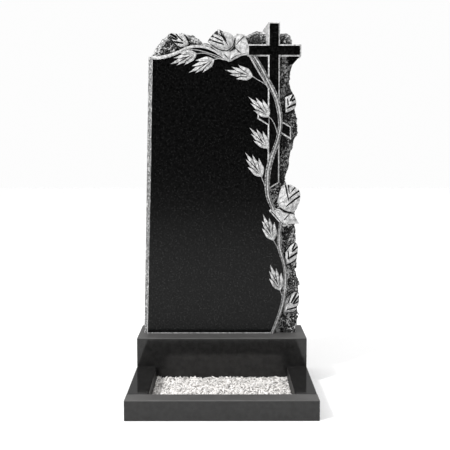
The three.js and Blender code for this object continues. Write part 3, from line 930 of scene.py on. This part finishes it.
# Each groove of a bud runs from its open end to its root, with its half width there
budLook = {
    "radius": 38, "flat": 0.72, "sunk": -2, "petalRelief": 22, "petalLevel": 8, "petalCrease": 0.12,
    "grooveRoot": 3.0, "grooveFloor": 4, "rootFloor": 19, "grooveTop": 32,
    "rimHalf": 3.8, "rimFloor": -3, "rimTop": 24, "foldHalf": 5.0, "foldFloor": 1,
    "behindLow": -24, "behindHigh": 3, "crownEdge": 9, "crownTop": 27,
}
sepalLook = {"edge": 4, "ridge": 11, "sunk": -26}
buds = [
    {
        "centre": (12, 1126), "spread": (22, 1108),
        "petals": [((-16, 1174), 13), ((-36, 1157), 13), ((-47, 1142), 13), ((-55, 1127), 13)],
        "grooves": [
            ([(2, 1166), (8, 1146), (18, 1126)], 3.0),
            ([(-9, 1174), (4, 1142), (25, 1109)], 6.0),
            ([(-27, 1166), (-10, 1151), (8, 1138)], 6.0),
            ([(-44, 1150), (-20, 1138), (4, 1125)], 7.0),
            ([(-55, 1137), (-22, 1123), (8, 1113)], 7.0),
        ],
        "behind": [
            (-53, 1128), (-45, 1141), (-35, 1153), (-24, 1164), (-9, 1172), (12, 1160), (22, 1118), (-20, 1110),
        ],
        "rim": [(-55, 1127), (-36, 1110), (-16, 1099), (17, 1091), (42, 1108), (50, 1138), (50, 1152)],
        "folds": [
            [(86, 1147), (66, 1127), (52, 1112)], [(52, 1102), (66, 1088), (74, 1082)],
            [(36, 1060), (58, 1074), (92, 1083)], [(10, 1078), (25, 1061)],
        ],
        "sepals": [
            ([(30, 1052), (74, 1076), (66, 1104), (34, 1090)], [(34, 1060), (58, 1090)]),
            (
                [(72, 1076), (100, 1080), (100, 1118), (86, 1155), (56, 1156), (50, 1112)],
                [(62, 1090), (78, 1140)],
            ),
            ([(30, 1052), (34, 1088), (8, 1096), (-50, 1118)], [(26, 1066), (-14, 1098)]),
        ],
    },
    {
        "centre": (258, 510), "spread": (246, 506),
        "petals": [], "floor": -6, "rimHalf": 7.5,
        "crown": [
            (214, 510), (226, 558), (233, 576), (241, 581), (251, 580), (268, 582), (282, 574), (299, 561),
            (303, 546), (303, 530), (298, 507),
        ],
        "crownCrest": [(240, 522), (262, 532)],
        "grooves": [
            ([(245, 584), (250, 555), (257, 521)], 9.0),
            ([(257, 582), (258, 566), (260, 547)], 9.5),
            ([(284, 574), (272, 561), (261, 550)], 9.0),
            ([(303, 562), (279, 547), (258, 531)], 10.0),
            ([(306, 541), (275, 522), (244, 496)], 9.5),
        ],
        "rim": [(213, 512), (221, 497), (233, 485), (252, 476), (275, 474)],
        "folds": [
            [(262, 470), (250, 458), (241, 447)], [(197, 487), (210, 485), (223, 482)],
            [(188, 482), (207, 463), (225, 442), (239, 428)],
        ],
        "sepals": [
            (
                [(182, 482), (196, 492), (222, 488), (244, 472), (240, 440), (228, 430)],
                [(200, 476), (234, 450)],
            ),
            ([(228, 430), (240, 419), (266, 432), (264, 470), (240, 474)], [(242, 438), (256, 462)]),
            ([(260, 470), (278, 468), (289, 450), (300, 432), (264, 430)], [(264, 462), (285, 440)]),
        ],
    },
]


def makeBud(number, drawing):
    look = budLook
    name = f"bud{number}"
    bm = bmesh.new()
    bmesh.ops.create_uvsphere(bm, u_segments=48, v_segments=32, radius=look["radius"])
    bmesh.ops.scale(bm, vec=(1, 1, look["flat"]), verts=bm.verts[:])
    bmesh.ops.translate(bm, vec=(*drawing["centre"], look["sunk"]), verts=bm.verts[:])
    ball = closeMesh(bm, name, peckedSlot)
    relief = look["petalRelief"]
    grown = [
        makeFinger(
            drawing["spread"], tip, half, relief, look["petalLevel"], f"{name}petal{i}", petalBlade, relief,
            look["petalCrease"],
        )
        for i, (tip, half) in enumerate(drawing["petals"])
    ]
    for i, (edge, ridge) in enumerate(drawing["sepals"]):
        low, high, top = sepalLook["sunk"], sepalLook["edge"], sepalLook["ridge"]
        grown.append(makeRidged(edge, low, high, f"{name}sepal{i}", crest=ridge, top=top))
    if "crown" in drawing:
        low, high, top = look["behindLow"], look["crownEdge"], look["crownTop"]
        grown.append(makeRidged(
            drawing["crown"], low, high, f"{name}crown", crest=drawing["crownCrest"], top=top,
        ))
    half = drawing.get("rimHalf", look["rimHalf"])
    cuts = [makeGroove(drawing["rim"], f"{name}rim", half, look["rimFloor"], look["rimTop"])]
    ends = drawing.get("floor", look["grooveFloor"]), look["grooveTop"], look["grooveRoot"], look["rootFloor"]
    for i, (points, half) in enumerate(drawing["grooves"]):
        cuts.append(makeGroove(points, f"{name}groove{i}", half, *ends))
    for i, points in enumerate(drawing["folds"]):
        cuts.append(makeGroove(points, f"{name}fold{i}", look["foldHalf"], look["foldFloor"], look["rimTop"]))
    steps = [("UNION", piece) for piece in grown] + [("DIFFERENCE", cut) for cut in cuts]
    # a near-black body behind the petals: painted shade in the gaps between them
    if "behind" in drawing:
        low, high = look["behindLow"], look["behindHigh"]
        steps.append(("UNION", makeRidged(drawing["behind"], low, high, f"{name}behind", grooveShadeSlot)))
    return carve(name, ball, steps)


# The three-barred cross, with its drawn places on the face
cross = {
    "middle": 199, "top": 1200, "foot": 590, "footSlope": 32, "width": 45,
    "barMiddle": 1094, "barLeft": 98, "barRight": 303,
    "footBar": ((137, 860), (266, 780)), "footBarWidth": 42, "relief": 6, "bevel": 5, "deep": -35,
    "flare": 17, "flankFall": 20, "corbel": (255, 271), "corbelDrop": 30,
}


# A bar with polished face and pecked bevels
def makeBar(outline, low, high, bevel, name):
    bm = prism(outline, low, high - bevel, peckedSlot, polishedSlot)
    crown = max(bm.faces, key=lambda face: face.calc_center_median().z)
    rim = bmesh.ops.inset_region(bm, faces=[crown], thickness=bevel, depth=bevel, use_even_offset=True)["faces"]
    for face in rim:
        face.material_index = peckedSlot
    splitFront(bm)
    return closeMesh(bm, name)


def makeCross():
    c = cross
    half = c["width"] / 2
    left, right = c["middle"] - half, c["middle"] + half
    under, over = c["barMiddle"] - half, c["barMiddle"] + half
    drop = c["width"] * math.tan(math.radians(c["footSlope"]))
    post = [
        (left, c["foot"] - drop), (right, c["foot"]), (right, under), (c["barRight"], under),
        (c["barRight"], over), (right, over), (right, c["top"]), (left, c["top"]),
        (left, over), (c["barLeft"], over), (c["barLeft"], under), (left, under),
    ]
    (x0, h0), (x1, h1) = c["footBar"]
    tall = c["footBarWidth"] / 2 / math.cos(math.atan2(h0 - h1, x1 - x0))
    footBar = [(x0, h0 - tall), (x1, h1 - tall), (x1, h1 + tall), (x0, h0 + tall)]
    head = [(left, c["barMiddle"]), (right, c["barMiddle"]), (right, c["top"]), (left, c["top"])]
    arm = [(c["middle"], under), (c["barRight"], under), (c["barRight"], over), (c["middle"], over)]
    back, fall, below = 1 - drawnDepth, c["flankFall"], over - 10
    flank = []
    for x in (left + 1, c["middle"]):
        flank += [(x, below, -1), (x, c["top"] - 1, -1), (x, c["top"] - fall, back), (x, below, back)]
    for z in (back, back / 2):
        flank += [(left - c["flare"], c["top"] - fall - 3, z), (left - c["flare"] / 2, below, z)]
    corbelLeft, corbelFoot = c["corbel"]
    shelf, hanging = under + 4, under - c["corbelDrop"]
    corbel = []
    for z in (-6, 4 - drawnDepth):
        corbel += [(c["barRight"] - 2, shelf, z), (corbelLeft, shelf, z), (corbelLeft, hanging, z)]
        corbel += [(corbelFoot, hanging, z)]
    return [
        makeBar(post, c["deep"], c["relief"], c["bevel"], "crossPost"),
        makeBar(footBar, c["deep"], c["relief"] - 1, c["bevel"], "crossFootBar"),
        closeMesh(prism(head, -drawnDepth, 0, peckedSlot, polishedSlot), "crossHead"),
        closeMesh(prism(arm, -drawnDepth, 0, peckedSlot, polishedSlot), "crossArm"),
        # the flank takes the darker bark finish: painted shade on the cross's slanted side
        hull(flank, "crossFlank", barkAndShadeSlot),
        hull(corbel, "crossCorbel", polishedSlot),
    ]


# The joining of many pieces can leave a corner just off a polished plane: it goes back into it
def flattenPolished(bm):
    nearby = 2.0
    for face in bm.faces:
        if face.material_index != polishedSlot or abs(face.normal.z) < 0.9:
            continue
        heights = sorted(vert.co.z for vert in face.verts)
        plane = heights[len(heights) // 2]
        for vert in face.verts:
            if abs(vert.co.z - plane) < nearby:
                vert.co.z = plane


def makeSlab():
    raised = [
        *[makeRod(name=name, **look) for name, look in rodLooks.items()],
        makeVine(vineUpper, "vineUpper"),
        makeVine(vineLower, "vineLower", vineLook["lowerSize"]),
        *[makeRod(points, f"stem{i}", **stemLook) for i, points in enumerate(stems)],
        *[makeRod(points, f"stemOver{i}", **stemOverLook) for i, points in enumerate(stemsOverCross)],
        *[makeLeaf(i, *leaf) for i, leaf in enumerate(leaves)],
        *[makeRockLeaf(i, leaf) for i, leaf in enumerate(rockLeaves)],
        *[makeBud(i, bud) for i, bud in enumerate(buds)],
    ]
    cuts = [makeBrokenAway(), makeMarginCut(), makeArrisCut(), makeFootCut()]
    cuts += [makeHollow(i, leaf) for i, leaf in enumerate(rockLeaves)]
    steps = [("DIFFERENCE", cut) for cut in cuts]
    steps += [("UNION", piece) for piece in [*makeCross(), *raised]]
    beyond = 100
    tall = drawnHeight + beyond
    kept = makeBox((tall, tall, 4 * beyond), (0, tall / 2, 0))
    steps.append(("INTERSECT", closeMesh(kept, "sawnFoot", polishedSlot)))
    mesh = carve("slabCarving", makeBlock(), steps)
    bm = bmesh.new()
    bm.from_mesh(mesh)
    bpy.data.meshes.remove(mesh)
    flattenPolished(bm)
    for edge in bm.edges:
        kinds = {face.material_index for face in edge.link_faces}
        edge.smooth = len(kinds) == 1 and edge.calc_face_angle(0) < slabDrawing["smoothTo"]
    for face in bm.faces:
        face.smooth = face.material_index in (peckedSlot, barkAndShadeSlot, dressedSlot)
    bm.transform(toWorld)
    piece = addObject("slabCarving", stoneMesh(bm, "slabCarving"))
    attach(piece, "root")
    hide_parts("carved_slab")
    return piece


# The sawn blocks: plinth and curbs, with small arrises
blockLook = {
    "arris": 0.0025, "segments": 1,
    "finishes": ["mirrorGranite", "honedGranite", "sawnGranite"], "honedTops": ["plinth", "front_curb"],
}
bedSide = {"left_curb": Vector((1, 0, 0)), "right_curb": Vector((-1, 0, 0)), "front_curb": Vector((0, 1, 0))}


def makeDressedBlock(node):
    low, high = (Vector(corner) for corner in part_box(node))
    bm = makeBox(high - low, (low + high) / 2)
    upper = [e for e in bm.edges if max(v.co.z for v in e.verts) > high.z - 1e-6]
    bmesh.ops.bevel(
        bm, geom=upper, offset=blockLook["arris"], offset_type="OFFSET", affect="EDGES",
        segments=blockLook["segments"], profile=0.5, material=-1,
    )
    for face in bm.faces:
        face.smooth = False
        face.material_index = int(face.normal.z > 0.5 and node in blockLook["honedTops"])
        if node in bedSide and face.normal.dot(bedSide[node]) > 0.9:
            face.material_index = 2
    piece = addObject(node + "Block", stoneMesh(bm, node + "Block", blockLook["finishes"]))
    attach(piece, "root")
    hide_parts(node)


# Marble chips: angular splinters in jittered rows, over a level mass of the same stone in darker grey, painted
# shade seen through the gaps
chipLook = {
    "seed": 7, "kinds": 12, "uneven": (0.72, 1.18), "finishes": ["marbleChips", "chipGapShade", "shadedChips"],
    "shaded": 0.22, "long": (0.014, 0.026), "wide": (0.0045, 0.009), "thick": (0.0035, 0.006),
    "ground": 0.0120, "heap": 0.006, "heapGrain": 50, "lift": (-0.001, 0.0015), "jitter": 0.4,
    "border": {"pitch": 0.0085, "level": 0.0205, "tilt": 0.35, "turn": 0.4},
    "layers": [
        {"pitch": 0.0105, "level": 0.0150, "tilt": 0.35},
        {"pitch": 0.0105, "level": 0.0205, "tilt": 0.75},
        {"pitch": 0.0170, "level": 0.0250, "tilt": 1.00},
    ],
}


def chipTemplate(rng):
    bm = bmesh.new()
    bmesh.ops.create_icosphere(bm, subdivisions=1, radius=1)
    for vert in bm.verts:
        vert.co *= rng.uniform(*chipLook["uneven"])
    return stoneMesh(bm, "chipTemplate", [])


def layChip(bm, rng, templates, x, y, level, bearing, tilt):
    look = chipLook
    size = Matrix.Diagonal([*(rng.uniform(*look[key]) / 2 for key in ("long", "wide", "thick")), 1])
    pitch, roll = rng.uniform(-tilt, tilt), rng.uniform(-tilt, tilt)
    turn = Matrix.Rotation(bearing, 4, "Z") @ Matrix.Rotation(pitch, 4, "Y") @ Matrix.Rotation(roll, 4, "X")
    swell = broadNoise(x * look["heapGrain"], (y - bedLow.y) * look["heapGrain"], 11) - 0.5
    spot = Vector((x, y, bedLow.z + level + look["heap"] * swell + rng.uniform(*look["lift"])))
    chip = rng.choice(templates).copy()
    chip.transform(turn @ size)
    for axis in range(3):
        reach = [vert.co[axis] for vert in chip.vertices]
        spot[axis] = min(max(spot[axis], bedLow[axis] - min(reach)), bedHigh[axis] - max(reach))
    chip.transform(Matrix.Translation(spot))
    if rng.random() < look["shaded"]:
        for face in chip.polygons:
            face.material_index = 2
    bm.from_mesh(chip)
    bpy.data.meshes.remove(chip)


def makeChips():
    look = chipLook
    rng = random.Random(look["seed"])
    templates = [chipTemplate(rng) for _ in range(look["kinds"])]
    ground = Vector((bedHigh.x - bedLow.x, bedHigh.y - bedLow.y, look["ground"]))
    middle = (bedLow + bedHigh) / 2
    bm = makeBox(ground, (middle.x, middle.y, bedLow.z + ground.z / 2))
    # the mass under the chips takes the darker finish: painted shade between the chips
    for face in bm.faces:
        face.material_index = 1
    for layer in look["layers"]:
        pitch, jitter = layer["pitch"], look["jitter"]
        for row in range(round(ground.y / pitch) + 1):
            for column in range(round(ground.x / pitch) + 1):
                x = bedLow.x + pitch * (column + rng.uniform(-jitter, jitter))
                y = bedLow.y + pitch * (row + rng.uniform(-jitter, jitter))
                layChip(bm, rng, templates, x, y, layer["level"], rng.uniform(0, math.pi), layer["tilt"])
    border = look["border"]
    for bearing, length in ((0, ground.x), (math.pi / 2, ground.y)):
        for side in (0, 1):
            for i in range(round(length / border["pitch"]) + 1):
                x = bedLow.x + (side * ground.x if bearing else i * border["pitch"])
                y = bedLow.y + (i * border["pitch"] if bearing else side * ground.y)
                turn = bearing + rng.uniform(-border["turn"], border["turn"])
                layChip(bm, rng, templates, x, y, border["level"], turn, border["tilt"])
    for face in bm.faces:
        face.smooth = False
    piece = addObject("marbleChips", stoneMesh(bm, "marbleChips", look["finishes"]))
    for template in templates:
        bpy.data.meshes.remove(template)
    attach(piece, "root")
    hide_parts("gravel_bed")


# Plain pale floor and soft studio light: the sky grows along an axis, from a place to a place, by strength
studio = {
    "floor": 0.90, "floorSize": 24.0, "floorShift": 4.5, "floorRough": 0.9, "floorGlow": 0.15,
    "backdrop": 0.98, "aim": (0, 0, 0.6),
    "sky": [("Z", 0.25, 0.75, 0.02, 1.5), ("Y", 0.2, 0.6, 0.0, 0.30)],
    "key": {"place": (-3.6, -3.2, 4.6), "size": 1.0, "power": 340},
    "fill": {"place": (3.2, -2.2, 3.6), "size": 2.6, "power": 20},
}


def makeFloor():
    bm = bmesh.new()
    bmesh.ops.create_grid(bm, x_segments=1, y_segments=1, size=studio["floorSize"] / 2)
    bmesh.ops.translate(bm, vec=(0, studio["floorShift"], 0), verts=bm.verts[:])
    material, tree = newMaterial("studioFloor")
    feed(tree, tree.nodes["Principled BSDF"], {
        "Base Color": (*grey(studio["floor"]), 1), "Roughness": studio["floorRough"],
        "Emission Color": (1, 1, 1, 1), "Emission Strength": studio["floorGlow"],
    })
    floor = addObject("studioFloor", stoneMesh(bm, "studioFloor", []))
    floor.data.materials.append(material)


def makeLight(name):
    look = studio[name]
    data = bpy.data.lights.new(name, "AREA")
    data.size = look["size"]
    data.energy = look["power"]
    lamp = addObject(name, data)
    lamp.location = look["place"]
    aim = Vector(studio["aim"]) - Vector(look["place"])
    lamp.rotation_euler = aim.to_track_quat("-Z", "Y").to_euler()


# The sky is seen as a plain backdrop, and lights the stone from above and from behind
def makeWorld():
    world = bpy.data.worlds.new("studio")
    bpy.context.scene.world = world
    world.use_nodes = True
    tree = world.node_tree
    tree.nodes.clear()
    place = addNode(tree, "ShaderNodeTexCoord")
    split = addNode(tree, "ShaderNodeSeparateXYZ", {"Vector": place.outputs["Generated"]})
    shares = []
    for axis, start, end, least, most in studio["sky"]:
        spread = addNode(tree, "ShaderNodeMapRange", {
            "Value": split.outputs[axis], "From Min": start, "From Max": end, "To Min": least, "To Max": most,
        }, interpolation_type="SMOOTHSTEP")
        shares.append(spread.outputs["Result"])
    dome = addNode(tree, "ShaderNodeBackground", {"Strength": addMath(tree, "ADD", *shares)})
    seen = addNode(tree, "ShaderNodeBackground", {"Color": (*grey(studio["backdrop"]), 1)})
    path = addNode(tree, "ShaderNodeLightPath")
    mix = addNode(tree, "ShaderNodeMixShader", {
        "Fac": path.outputs["Is Camera Ray"], 1: dome.outputs[0], 2: seen.outputs[0],
    })
    addNode(tree, "ShaderNodeOutputWorld", {"Surface": mix.outputs[0]})


makeCamera()
print("camera set")
grain, bruiseGroup = makeGrainGroup(), makeBruiseGroup()
for key in finishes:
    stoneMaterials[key] = makeStone(key, grain, bruiseGroup)
print("finishes made")
slab = makeSlab()
print("slab carved:", len(slab.data.polygons), "faces")
for node in ("plinth", "front_curb", "left_curb", "right_curb"):
    makeDressedBlock(node)
print("plinth and curbs dressed")
makeChips()
print("chips laid")
makeFloor()
makeLight("key")
makeLight("fill")
makeWorld()
bpy.context.scene.view_settings.view_transform = "Standard"
print("studio lit")
